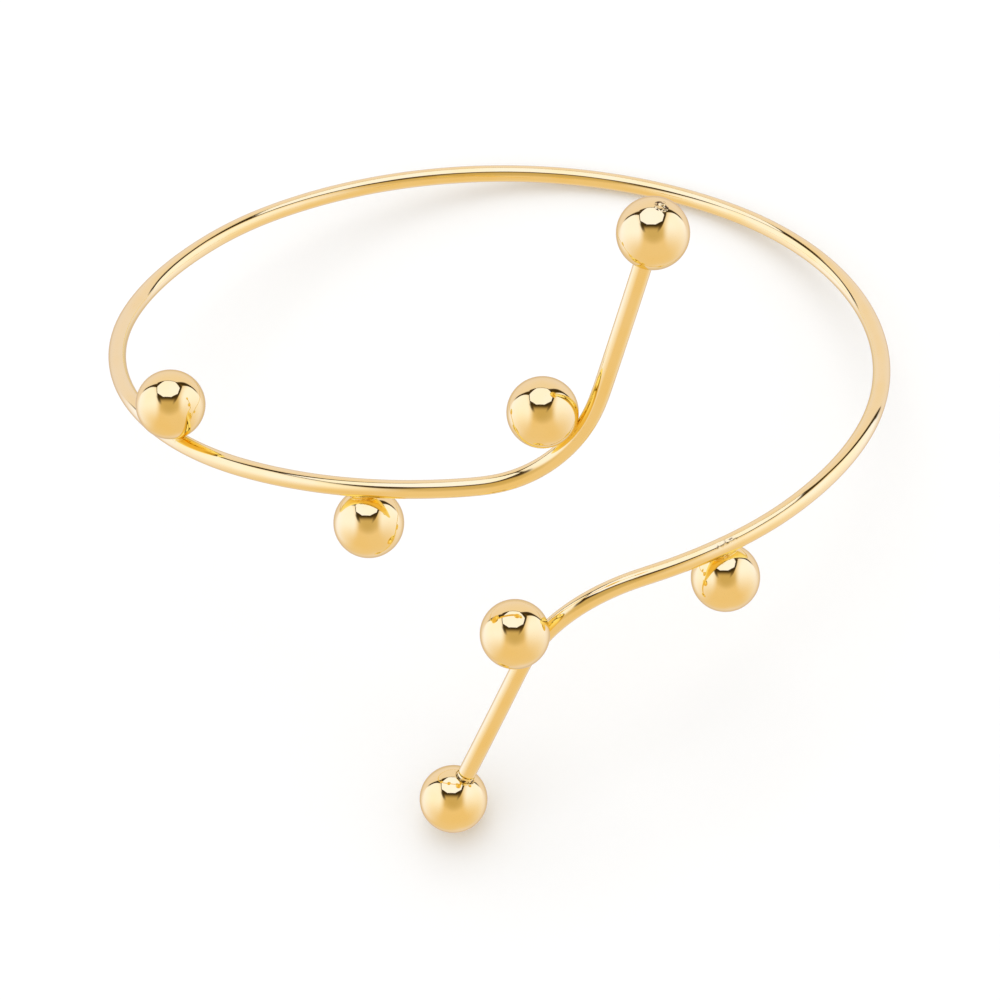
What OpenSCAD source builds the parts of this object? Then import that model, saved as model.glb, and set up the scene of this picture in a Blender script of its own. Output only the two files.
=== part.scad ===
// Upper arm cuff: one round wire bent round an oval arm opening, with its ends turned apart at the
// front. The left end climbs to the upper end ball, the right end drops to the lower end ball, and
// five more balls are soldered beside the wire.
// The path of the wire is drawn on the unrolled oval, s round it and h up the arm, then rolled up.
// The cuff is tipped back, as it rests by itself on its lower end ball and the back of the wire.

/* [Arm opening] */
// Width of the opening, inside the wire
inner_w = 85; // [80:1:90]
// Depth of the opening from front to back, inside the wire
inner_d = 76; // [72:1:80]
// How much the radius of the flatter front and back exceeds half the width of the oval
flat_more = 5; // [3:0.5:8]

/* [Wire] */
// Diameter of the round wire
wire_d = 2; // [1.8:0.1:2.2]

/* [Balls] */
// Outer diameter of every ball
ball_d = 7.6; // [7:0.1:8]
// Wall of the hollow balls
ball_wall = 0.6; // [0.5:0.1:0.8]
// Distance along the wire from one ball to the next
ball_pitch = 25; // [24:0.1:26]
// Diameter of the solder neck that joins a side ball to the wire
neck_d = 1.7; // [1.5:0.1:1.8]
// Solder film between a side ball and the wire
solder_film = 0.03; // [0.02:0.01:0.05]
// Clearance all round the wire in the hole of an end ball
end_fit = 0.05; // [0.04:0.01:0.1]
// Depth of the chamfer at the mouth of that hole
mouth = 0.2; // [0.1:0.05:0.3]
// Length of the wire's tip inside an end ball, past the ball's middle
tip = 1; // [0:0.5:2]

/* [Upper run] */
// Distance round the oval, left of the front middle, where the wire leaves the level and starts to climb
up_start = 82; // [76:1:88]
// Radius of the gentle curve with which the climb starts
up_start_r = 150; // [100:10:200]
// Distance right of the front middle where the climb, if it ran on, would meet the upper shaft
up_corner = 7.8; // [5:0.1:11]
// Height of that corner above the level part
up_corner_h = 12.7; // [10:0.1:15]
// Radius of the bend there
up_bend_r = 15; // [12:0.5:17]
// Distance right of the front middle of the upper end ball
up_end = 16; // [14:0.1:19]
// Height of the upper end ball's middle above the level part
up_end_h = 41.6; // [38:0.1:46]

/* [Lower run] */
// Distance round the oval, right of the front middle, where the wire starts to fall
low_start = 42.4; // [38:0.2:48]
// Radius of the gentle curve with which the fall starts
low_start_r = 150; // [100:10:200]
// Distance right of the front middle where the fall, if it ran on, would meet the lower shaft
low_corner = 5.7; // [4:0.1:8]
// Depth of that corner below the level part
low_corner_h = 4; // [3:0.1:6]
// Radius of the bend there
low_bend_r = 16.5; // [14:0.5:18]
// Distance right of the front middle of the lower end ball, negative to the left
low_end = -5.5; // [-8:0.1:-4]
// Depth of the lower end ball's middle below the level part
low_end_h = 32.6; // [29:0.1:36]

/* [Rest] */
// Lean of the cuff to its right as it rests
rest_lean = 8.7; // [0:0.1:12]

/* [Hidden] */
$fn = 64;
wire_sides = 20;
bend_step = 1.5;
long_step = 3.5;
wire_r = wire_d / 2;
ball_r = ball_d / 2;
seat = wire_r + ball_r + solder_film;

// the oval: flat arcs at the front and back, tighter arcs at the sides
half_w = (inner_w + wire_d) / 2;
half_d = (inner_d + wire_d) / 2;
flat_r = half_w + flat_more;
flat_off = flat_r - half_d;
side_off = (flat_off ^ 2 - (flat_r - half_w) ^ 2) / (2 * (flat_r - half_w));
side_r = half_w - side_off;
flat_turn = atan2(side_off, flat_off);
flat_len = flat_r * flat_turn * PI / 180;
side_len = side_r * (180 - 2 * flat_turn) * PI / 180;
half_len = 2 * flat_len + side_len;

function sgn(v) = v < 0 ? -1 : 1;
function unit(v) = v / norm(v);

// turn of the oval from the front middle to a distance v round it, and the place there
function turned(v) =
    v < flat_len ? v / flat_r * 180 / PI
  : v < flat_len + side_len ? flat_turn + (v - flat_len) / side_r * 180 / PI
  : 180 - (half_len - v) / flat_r * 180 / PI;
function quarter(v) =
    let (t = turned(v))
    v < flat_len ? [flat_r * sin(t), flat_off - flat_r * cos(t)]
  : v < flat_len + side_len ? [side_off + side_r * sin(t), -side_r * cos(t)]
  : [flat_r * sin(t), -flat_off - flat_r * cos(t)];
// rolls the point [s, h] up into the cuff's space, and the directions along and out of the oval there
function rolled(q) = let (p = quarter(abs(q[0]))) [sgn(q[0]) * p[0], p[1], q[1]];
function along(s) = let (t = turned(abs(s))) [cos(t), sgn(s) * sin(t), 0];
function outward(s) = let (t = turned(abs(s))) [sgn(s) * sin(t), -cos(t), 0];

// A run of wire on the unrolled oval, from its end ball down the shaft, round the bend, along the
// climb and through the gentle start to the level: [leg lengths, corners, bend radii]
function heading(a, b) = atan2(b[1] - a[1], b[0] - a[0]);
function swing(a, b, c) = let (t = heading(b, c) - heading(a, b)) t > 180 ? t - 360 : t < -180 ? t + 360 : t;
function cut(r, t) = r * tan(abs(t) / 2);
function legs(k, r) =
    let (t1 = swing(k[0], k[1], k[2]), t2 = swing(k[1], k[2], k[3]))
    [norm(k[1] - k[0]) - cut(r[0], t1), r[0] * abs(t1) * PI / 180,
     norm(k[2] - k[1]) - cut(r[0], t1) - cut(r[1], t2), r[1] * abs(t2) * PI / 180];
// place and heading on a straight leg or a bend, as [s, h, heading]
function straight(p, a, d) = [p[0] + d * cos(a), p[1] + d * sin(a), a];
function bent(p, a, r, t, d) =
    let (w = sgn(t) * d / r * 180 / PI, o = [p[0] - sgn(t) * r * sin(a), p[1] + sgn(t) * r * cos(a)])
    [o[0] + sgn(t) * r * sin(a + w), o[1] - sgn(t) * r * cos(a + w), a + w];
// place on a run at the distance u along the wire from the middle of its end ball
function on_run(k, r, u) =
    let (n = legs(k, r), t1 = swing(k[0], k[1], k[2]), t2 = swing(k[1], k[2], k[3]), a = heading(k[0], k[1]))
    let (p1 = straight(k[0], a, n[0]), p2 = bent(p1, a, r[0], t1, n[1]), p3 = straight(p2, p2[2], n[2]))
    u < n[0] ? straight(k[0], a, u)
  : u < n[0] + n[1] ? bent(p1, a, r[0], t1, u - n[0])
  : u < n[0] + n[1] + n[2] ? straight(p2, p2[2], u - n[0] - n[1])
  : bent(p3, p3[2], r[1], t2, u - n[0] - n[1] - n[2]);

up_knots = [[up_end, up_end_h], [up_corner, up_corner_h], [-up_start, 0], [-half_len, 0]];
low_knots = [[low_end, -low_end_h], [low_corner, -low_corner_h], [low_start, 0], [half_len, 0]];
up_radii = [up_bend_r, up_start_r];
low_radii = [low_bend_r, low_start_r];
function total(v, i = 0) = i < len(v) ? v[i] + total(v, i + 1) : 0;
up_len = total(legs(up_knots, up_radii));
low_len = total(legs(low_knots, low_radii));
// the level part starts where the gentle curves end, on the left and on the right
up_level = on_run(up_knots, up_radii, up_len)[0];
low_level = on_run(low_knots, low_radii, low_len)[0];

// The side balls, a ball pitch apart. Each row: its run, how many pitches along the wire it sits from
// the end ball, and the turn round the wire from the side facing up the arm, positive away from the arm.
UP = 0;
LOW = 1;
RUN = 0;
PITCHES = 1;
TURN = 2;
SIDE_BALLS = [
  [UP, 1, -7],
  [UP, 2.04, -176],
  [UP, 3.03, 4],
  [LOW, 1.02, 32],
  [LOW, 1.94, -176],
];

// the wire at a place [s, h, heading]: its middle, the way along it, the way out, and the way up the arm
function frame(q) =
    let (t = cos(q[2]) * along(q[0]) + sin(q[2]) * [0, 0, 1], n = outward(q[0]), v = cross(t, n))
    [rolled(q), t, n, v[2] < 0 ? -v : v];
function up_frame(u) = frame(on_run(up_knots, up_radii, u));
function low_frame(u) = frame(on_run(low_knots, low_radii, u));
function seat_frame(row) =
    let (u = row[PITCHES] * ball_pitch) row[RUN] == UP ? up_frame(u) : low_frame(u);
function seat_way(row) = let (f = seat_frame(row)) cos(row[TURN]) * f[3] + sin(row[TURN]) * f[2];

// the end balls, and the straight way of the wire out of each, which runs a wire radius past the mouth
shaft_u = ball_r + wire_r;
up_ball = up_frame(0)[0];
low_ball = low_frame(0)[0];
up_way = unit(up_frame(shaft_u)[0] - up_ball);
low_way = unit(low_frame(shaft_u)[0] - low_ball);

// Rings of the wire from the upper tip to the lower tip: [middle, along]. Steps are short in the bends.
function spaced(a, b, step) = let (n = ceil((b - a) / step)) [for (i = [1:n]) a + (b - a) * i / n];
function run_steps(n) = [
    shaft_u,
    each spaced(shaft_u, n[0], long_step),
    each spaced(n[0], n[0] + n[1], bend_step),
    each spaced(n[0] + n[1], n[0] + n[1] + n[2], long_step),
    each spaced(n[0] + n[1] + n[2], total(n), long_step)];
function level_ring(s) = [rolled([s, 0]), -along(s)];
up_rings = [for (u = run_steps(legs(up_knots, up_radii))) let (f = up_frame(u)) [f[0], f[1]]];
low_rings = [for (u = run_steps(legs(low_knots, low_radii))) let (f = low_frame(u)) [f[0], -f[1]]];
rings = [
    [up_ball - tip * up_way, up_way],
    each up_rings,
    for (s = spaced(-up_level, half_len, long_step)) level_ring(-s),
    for (s = spaced(-half_len, -low_level, long_step)) level_ring(-s),
    for (i = [len(low_rings) - 2:-1:0]) low_rings[i],
    [low_ball - tip * low_way, -low_way]];

// The cuff tips back until its lower end ball and the back of the wire are down together. The way up
// from the floor, seen from the cuff, follows from its tip and its lean.
function floor_up(tip_back) =
    [-sin(rest_lean), -cos(rest_lean) * sin(tip_back), cos(rest_lean) * cos(tip_back)];
function ball_foot(n) = low_ball * n - ball_r;
function back_foot(n) = -flat_off * n[1] - flat_r * norm([n[0], n[1]]) - wire_r;
function tip_angle(lo, hi, tries) =
    let (mid = (lo + hi) / 2, n = floor_up(mid))
    tries == 0 ? mid
  : back_foot(n) > ball_foot(n) ? tip_angle(mid, hi, tries - 1) : tip_angle(lo, mid, tries - 1);
rest_tip = tip_angle(0, 45, 30);

function tipped(p) =
    let (c = cos(rest_tip), s = sin(rest_tip), q = [p[0], c * p[1] + s * p[2], c * p[2] - s * p[1]],
         d = cos(rest_lean), e = sin(rest_lean))
    [d * q[0] + e * q[2], q[1], d * q[2] - e * q[0]];
// reach of the tipped cuff along an axis, to the low or high side
balls = [up_ball, low_ball, for (row = SIDE_BALLS) seat_frame(row)[0] + seat * seat_way(row)];
function reach(axis, side) = max(
    max([for (b = balls) side * tipped(b)[axis] + ball_r]),
    max([for (r = rings) side * tipped(r[0])[axis] + wire_r]));
foot = [
    (reach(0, 1) - reach(0, -1)) / 2,
    (reach(1, 1) - reach(1, -1)) / 2,
    ball_foot(floor_up(rest_tip))];

module at_rest() {
  translate(-foot) rotate([-rest_tip, rest_lean, 0]) children();
}

// stands the z axis along a direction
module pointed(way) {
  rotate([0, acos(way[2] / norm(way)), atan2(way[1], way[0])]) children();
}

module wire() {
  points = [for (r = rings)
      let (across = outward_of(r), over = cross(r[1], across))
      for (k = [0:wire_sides - 1]) r[0] + wire_r * (cos(k * 360 / wire_sides) * across
                                                    + sin(k * 360 / wire_sides) * over)];
  last = (len(rings) - 1) * wire_sides;
  polyhedron(points, concat(
      [[for (k = [0:wire_sides - 1]) k]],
      [for (i = [0:len(rings) - 2], k = [0:wire_sides - 1])
          let (a = i * wire_sides + k, b = i * wire_sides + (k + 1) % wire_sides)
          each [[a, a + wire_sides, b], [b, a + wire_sides, b + wire_sides]]],
      [[for (k = [wire_sides - 1:-1:0]) last + k]]));
}
// a direction across the wire that leads out of the oval, square to the ring's own way
function outward_of(r) =
    let (out = [r[0][0] * half_d / half_w, r[0][1] * half_w / half_d, 0], flat = out - (out * r[1]) * r[1])
    unit(flat);

// a hollow ball joined to the wire by its solder neck
module side_ball(row) {
  translate(seat_frame(row)[0]) pointed(seat_way(row)) {
    cylinder(d = neck_d, h = seat - ball_r + ball_wall / 2);
    translate([0, 0, seat]) difference() {
      sphere(r = ball_r);
      sphere(r = ball_r - ball_wall);
    }
  }
}

// a hollow ball with a chamfered hole that the wire's tip goes in
module end_ball(way) {
  hole_r = wire_r + end_fit;
  pointed(way) difference() {
    sphere(r = ball_r);
    sphere(r = ball_r - ball_wall);
    cylinder(r = hole_r, h = ball_d);
    translate([0, 0, sqrt(ball_r ^ 2 - (hole_r + mouth) ^ 2) - mouth])
      cylinder(r1 = hole_r, r2 = hole_r + 2 * mouth, h = 2 * mouth);
  }
}

module wire_band() {
  color("#d9a441") at_rest() {
    wire();
    for (row = SIDE_BALLS) side_ball(row);
  }
}

module upper_end_ball() {
  color("#e0ad4c") at_rest() translate(up_ball) end_ball(up_way);
}

module lower_end_ball() {
  color("#e0ad4c") at_rest() translate(low_ball) end_ball(low_way);
}

wire_band();
upper_end_ball();
lower_end_ball();
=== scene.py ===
"""Looks of an upper arm cuff: a round plated wire with seven polished balls, in a soft white studio.

Sizes are those of the cuff's construction, in metres, and its wire is drawn in the same way: on the
unrolled oval, s round it and h up the arm, then rolled up and tipped back to where the cuff rests.
"""
import logging
import math
from dataclasses import dataclass, field
from enum import Enum
from functools import cached_property
from typing import Callable, Sequence

import bpy
import numpy as np
from mathutils import Matrix, Vector, noise


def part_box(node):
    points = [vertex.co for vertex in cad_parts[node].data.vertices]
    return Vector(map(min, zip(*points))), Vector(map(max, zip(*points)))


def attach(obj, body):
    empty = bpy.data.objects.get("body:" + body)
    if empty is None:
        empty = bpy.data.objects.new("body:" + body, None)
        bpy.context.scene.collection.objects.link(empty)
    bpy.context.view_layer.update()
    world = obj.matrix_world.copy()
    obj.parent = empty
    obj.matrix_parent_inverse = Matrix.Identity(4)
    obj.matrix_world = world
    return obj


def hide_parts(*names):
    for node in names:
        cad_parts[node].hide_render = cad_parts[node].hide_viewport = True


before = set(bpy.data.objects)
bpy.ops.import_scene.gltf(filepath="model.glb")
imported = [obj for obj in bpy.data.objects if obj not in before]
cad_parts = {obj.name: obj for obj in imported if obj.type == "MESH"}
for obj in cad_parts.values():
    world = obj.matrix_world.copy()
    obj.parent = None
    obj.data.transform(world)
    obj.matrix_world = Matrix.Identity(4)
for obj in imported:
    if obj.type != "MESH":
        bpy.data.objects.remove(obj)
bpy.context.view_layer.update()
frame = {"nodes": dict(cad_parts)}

LOG = logging.getLogger("arm_cuff")
MM = 0.001
Colour = tuple[float, float, float]


class Run(Enum):
    """The two runs of wire that part at the front."""

    UPPER = "upper"
    LOWER = "lower"


class Grain(Enum):
    """How the metal's surface was left."""

    DRAWN = "drawn through a die, with faint lines along the wire"
    BUFFED = "buffed on a wheel"
    MOLTEN = "run and set, as solder is"


def unit(v: Vector) -> Vector:
    """The direction of a vector."""
    return v.normalized()


def smooth_step(x: np.ndarray | float, begin: float = 0.0, width: float = 1.0) -> np.ndarray | float:
    """An S-shaped rise from 0 to 1.

    Args:
        x: One value or many.
        begin: Where the rise begins.
        width: Over what width it rises.

    Returns:
        The height of the rise at each value.
    """
    x = np.clip((x - begin) / width, 0.0, 1.0)
    return x * x * (3.0 - 2.0 * x)


def turns(count: int) -> list[float]:
    """Evenly spaced turns, once round."""
    return [2 * math.pi * k / count for k in range(count)]


def about_z(r: float, turn: float, z: float) -> Vector:
    """The point at this radius, turn and height about the z axis."""
    return Vector((r * math.cos(turn), r * math.sin(turn), z))


def last_where(holds: Callable[[float], bool], far: float, rounds: int = 40) -> float:
    """Finds by halving how far up from 0 a test holds.

    Args:
        holds: The test.
        far: A value at which it no longer holds.
        rounds: How often to halve.

    Returns:
        The largest value found at which it holds.
    """
    near = 0.0
    for _ in range(rounds):
        middle = (near + far) / 2
        near, far = (middle, far) if holds(middle) else (near, middle)
    return near


# The cuff's drawing


@dataclass(frozen=True)
class Oval:
    """The oval that the wire's middle follows round the arm.

    Attributes:
        inner_w: Width of the arm opening, inside the wire.
        inner_d: Its depth.
        flat_more: How much larger the front and back arcs' radius is than half the width.
        wire_d: The wire's diameter.
    """

    inner_w: float = 85 * MM
    inner_d: float = 76 * MM
    flat_more: float = 5 * MM
    wire_d: float = 2 * MM

    @cached_property
    def half_w(self) -> float:
        """Half the width, at the wire's middle."""
        return (self.inner_w + self.wire_d) / 2

    @cached_property
    def half_d(self) -> float:
        """Half the depth, at the wire's middle."""
        return (self.inner_d + self.wire_d) / 2

    @cached_property
    def flat_r(self) -> float:
        """Radius of the flatter arcs."""
        return self.half_w + self.flat_more

    @cached_property
    def flat_off(self) -> float:
        """How far the middle of a flatter arc lies behind the oval's own middle."""
        return self.flat_r - self.half_d

    @cached_property
    def side_off(self) -> float:
        """How far the middle of a side arc lies beside the oval's middle."""
        more = self.flat_r - self.half_w
        return (self.flat_off ** 2 - more ** 2) / (2 * more)

    @cached_property
    def side_r(self) -> float:
        """Radius of the side arcs."""
        return self.half_w - self.side_off

    @cached_property
    def flat_turn(self) -> float:
        """Turn of half a flatter arc."""
        return math.atan2(self.side_off, self.flat_off)

    @cached_property
    def flat_len(self) -> float:
        """Length of half a flatter arc."""
        return self.flat_r * self.flat_turn

    @cached_property
    def half_len(self) -> float:
        """Length of half the oval, from the front middle to the back middle."""
        return 2 * self.flat_len + self.side_r * (math.pi - 2 * self.flat_turn)

    def turned(self, v: float) -> float:
        """How far the oval has turned from its front middle.

        Args:
            v: Distance round it from there, never negative.

        Returns:
            The turn.
        """
        if v < self.flat_len:
            return v / self.flat_r
        if v < self.half_len - self.flat_len:
            return self.flat_turn + (v - self.flat_len) / self.side_r
        return math.pi - (self.half_len - v) / self.flat_r

    def rolled(self, s: float, h: float) -> Vector:
        """Rolls a point of the drawing up into the cuff's space.

        Args:
            s: Distance round the oval from the front middle, negative to the left.
            h: Height up the arm.

        Returns:
            The point, with the arm along z and the front towards -y.
        """
        v, side = abs(s), math.copysign(1.0, s)
        t = self.turned(v)
        if v < self.flat_len:
            return Vector((side * self.flat_r * math.sin(t), self.flat_off - self.flat_r * math.cos(t), h))
        if v < self.half_len - self.flat_len:
            return Vector((side * (self.side_off + self.side_r * math.sin(t)), -self.side_r * math.cos(t), h))
        return Vector((side * self.flat_r * math.sin(t), -self.flat_off - self.flat_r * math.cos(t), h))

    def along(self, s: float) -> Vector:
        """The way round the oval, towards larger s."""
        t = self.turned(abs(s))
        return Vector((math.cos(t), math.copysign(1.0, s) * math.sin(t), 0.0))

    def outward(self, s: float) -> Vector:
        """The way out of the oval."""
        t = self.turned(abs(s))
        return Vector((math.copysign(1.0, s) * math.sin(t), -math.cos(t), 0.0))


@dataclass(frozen=True)
class Station:
    """A place on the drawing.

    Attributes:
        s: Distance round the oval from the front middle.
        h: Height up the arm.
        heading: The way that the wire heads there, as a turn from larger s.
    """

    s: float
    h: float
    heading: float

    def on(self, length: float) -> "Station":
        """The place that a straight leg of this length leads to."""
        way = (math.cos(self.heading), math.sin(self.heading))
        return Station(self.s + length * way[0], self.h + length * way[1], self.heading)

    def bent(self, radius: float, swing: float, length: float) -> "Station":
        """The place that a bend leads to.

        Args:
            radius: Radius of the bend.
            swing: Turn of the whole bend, positive to the left, of which the sign is used.
            length: How far along the bend.

        Returns:
            The place and the heading there.
        """
        side = math.copysign(1.0, swing)
        turn = side * length / radius
        s0 = self.s - side * radius * math.sin(self.heading)
        h0 = self.h + side * radius * math.cos(self.heading)
        heading = self.heading + turn
        s = s0 + side * radius * math.sin(heading)
        h = h0 - side * radius * math.cos(heading)
        return Station(s, h, heading)


@dataclass(frozen=True)
class Frame:
    """How the wire lies at a place.

    Attributes:
        middle: The wire's middle.
        along: The way along it.
        out: The way out of the oval.
        up: The way square to both, on the side up the arm.
    """

    middle: Vector
    along: Vector
    out: Vector
    up: Vector


@dataclass(frozen=True)
class RunDrawing:
    """A run of wire from its end ball down the shaft, round the bend, along the slope and to the level.

    Attributes:
        oval: The oval that it is rolled up on.
        end: Distance round and height of the end ball's middle.
        corner: The same of the corner that the bend rounds off.
        start: Distance round at which the slope would meet the level.
        bend_r: Radius of the bend.
        start_r: Radius of the gentle start of the slope.
    """

    oval: Oval
    end: tuple[float, float]
    corner: tuple[float, float]
    start: float
    bend_r: float
    start_r: float

    @cached_property
    def knots(self) -> list[tuple[float, float]]:
        """The corners of the run, from the end ball to the back of the oval."""
        back = math.copysign(self.oval.half_len, self.start)
        return [self.end, self.corner, (self.start, 0.0), (back, 0.0)]

    @cached_property
    def headings(self) -> list[float]:
        """The heading of each leg between the corners."""
        pairs = zip(self.knots, self.knots[1:])
        return [math.atan2(b[1] - a[1], b[0] - a[0]) for a, b in pairs]

    @cached_property
    def swings(self) -> list[float]:
        """The turn at each corner, between half a turn left and half a turn right."""
        pairs = zip(self.headings, self.headings[1:])
        return [(b - a + math.pi) % (2 * math.pi) - math.pi for a, b in pairs]

    @cached_property
    def legs(self) -> list[float]:
        """Lengths of the shaft, the bend, the slope and the gentle start."""
        radii = (self.bend_r, self.start_r)
        cuts = [r * math.tan(abs(t) / 2) for r, t in zip(radii, self.swings)]
        arcs = [r * abs(t) for r, t in zip(radii, self.swings)]
        spans = [math.dist(a, b) for a, b in zip(self.knots, self.knots[1:])]
        return [spans[0] - cuts[0], arcs[0], spans[1] - cuts[0] - cuts[1], arcs[1]]

    @cached_property
    def length(self) -> float:
        """Length of the run, from the middle of the end ball to the level."""
        return sum(self.legs)

    def at(self, u: float) -> Station:
        """The place on the drawing at a distance along the wire.

        Args:
            u: Distance from the middle of the end ball.

        Returns:
            The place and the wire's heading there.
        """
        shaft, bend, slope, _ = self.legs
        first = Station(*self.end, self.headings[0])
        if u < shaft:
            return first.on(u)
        if u < shaft + bend:
            return first.on(shaft).bent(self.bend_r, self.swings[0], u - shaft)
        third = first.on(shaft).bent(self.bend_r, self.swings[0], bend)
        if u < shaft + bend + slope:
            return third.on(u - shaft - bend)
        return third.on(slope).bent(self.start_r, self.swings[1], u - shaft - bend - slope)

    def frame(self, u: float) -> Frame:
        """The wire's frame at a distance along it, round the arm.

        Args:
            u: Distance from the middle of the end ball.

        Returns:
            The frame.
        """
        q = self.at(u)
        along = math.cos(q.heading) * self.oval.along(q.s) + Vector((0, 0, math.sin(q.heading)))
        out = self.oval.outward(q.s)
        up = along.cross(out)
        return Frame(self.oval.rolled(q.s, q.h), along, out, -up if up.z < 0 else up)


@dataclass(frozen=True)
class SideBall:
    """Where a side ball is soldered.

    Attributes:
        run: The run of wire that it sits on.
        pitches: Distance along the wire from the run's end ball, in ball pitches.
        turn: Turn round the wire from the side facing up the arm, positive away from the arm.
        spatter: Turn round the wire, in the same way, of crumbs of solder left on its bare side, if any.
    """

    run: Run
    pitches: float
    turn: float
    spatter: float | None = None


@dataclass(frozen=True)
class CuffDrawing:
    """The whole cuff as it is drawn round the arm, and as it then rests on the floor.

    Attributes:
        oval: The oval that the wire goes round.
        wire_r: The wire's radius.
        ball_r: Outer radius of a ball.
        ball_wall: How thick a ball's wall is.
        ball_pitch: About how far along the wire one ball is from the next.
        solder_film: Solder between a side ball and the wire.
        end_fit: Room between an end ball's bore and the wire.
        tip: How far the wire goes on past an end ball's middle.
        rest_lean: How far the resting cuff leans to its right.
        side_balls: The balls beside the wire, from the upper end down.
    """

    oval: Oval = Oval()
    wire_r: float = 1 * MM
    ball_r: float = 3.8 * MM
    ball_wall: float = 0.6 * MM
    ball_pitch: float = 25 * MM
    solder_film: float = 0.03 * MM
    end_fit: float = 0.05 * MM
    tip: float = 1 * MM
    rest_lean: float = math.radians(8.7)
    side_balls: tuple[SideBall, ...] = (
        SideBall(Run.UPPER, 1.0, math.radians(-7)),
        SideBall(Run.UPPER, 2.04, math.radians(-176)),
        SideBall(Run.UPPER, 3.03, math.radians(4)),
        SideBall(Run.LOWER, 1.02, math.radians(32)),
        SideBall(Run.LOWER, 1.94, math.radians(-176), spatter=math.radians(33)),
    )

    @cached_property
    def runs(self) -> dict[Run, RunDrawing]:
        """The two runs, each from its end ball."""
        upper = RunDrawing(self.oval, end=(16 * MM, 41.6 * MM), corner=(7.8 * MM, 12.7 * MM),
                           start=-82 * MM, bend_r=15 * MM, start_r=150 * MM)
        lower = RunDrawing(self.oval, end=(-5.5 * MM, -32.6 * MM), corner=(5.7 * MM, -4 * MM),
                           start=42.4 * MM, bend_r=16.5 * MM, start_r=150 * MM)
        return {Run.UPPER: upper, Run.LOWER: lower}

    @cached_property
    def seat(self) -> float:
        """Distance from the wire's middle to a side ball's middle."""
        return self.wire_r + self.ball_r + self.solder_film

    @cached_property
    def shaft_u(self) -> float:
        """How far the straight wire runs from the middle of an end ball."""
        return self.ball_r + self.wire_r

    def ball_middle(self, run: Run) -> Vector:
        """The middle of the end ball of a run, round the arm."""
        return self.runs[run].frame(0.0).middle

    def shaft_way(self, run: Run) -> Vector:
        """The way of the wire out of the end ball of a run."""
        return unit(self.runs[run].frame(self.shaft_u).middle - self.ball_middle(run))

    def seat_frame(self, ball: SideBall) -> Frame:
        """The wire's frame where a side ball sits."""
        return self.runs[ball.run].frame(ball.pitches * self.ball_pitch)

    def way_round(self, ball: SideBall, turn: float) -> Vector:
        """The way out of the wire at a side ball's seat, at this turn round it."""
        f = self.seat_frame(ball)
        return math.cos(turn) * f.up + math.sin(turn) * f.out

    def seat_way(self, ball: SideBall) -> Vector:
        """The way from the wire's middle to a side ball's middle."""
        return self.way_round(ball, ball.turn)

    @cached_property
    def rest_tip(self) -> float:
        """How far the cuff tips back until its lower end ball and the back of the wire are down together."""
        low_ball = self.ball_middle(Run.LOWER)

        def back_is_higher(tip: float) -> bool:
            """Whether the back of the wire is still higher than the lower end ball.

            Args:
                tip: How far the cuff is tipped back.

            Returns:
                True while it is.
            """
            up = Vector((-math.sin(self.rest_lean), -math.cos(self.rest_lean) * math.sin(tip),
                         math.cos(self.rest_lean) * math.cos(tip)))
            back_foot = -self.oval.flat_off * up.y - self.oval.flat_r * up.xy.length - self.wire_r
            return back_foot > low_ball.dot(up) - self.ball_r

        return last_where(back_is_higher, math.pi / 4)

    @cached_property
    def at_rest(self) -> Matrix:
        """Moves a point round the arm to where it is as the cuff rests on the floor."""
        turn = Matrix.Rotation(self.rest_lean, 4, "Y") @ Matrix.Rotation(-self.rest_tip, 4, "X")
        low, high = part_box("lower_end_ball")
        return Matrix.Translation((low + high) / 2 - turn @ self.ball_middle(Run.LOWER)) @ turn

    def rested(self, way: Vector) -> Vector:
        """Turns a direction round the arm to the resting cuff's."""
        return self.at_rest.to_3x3() @ way


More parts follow.
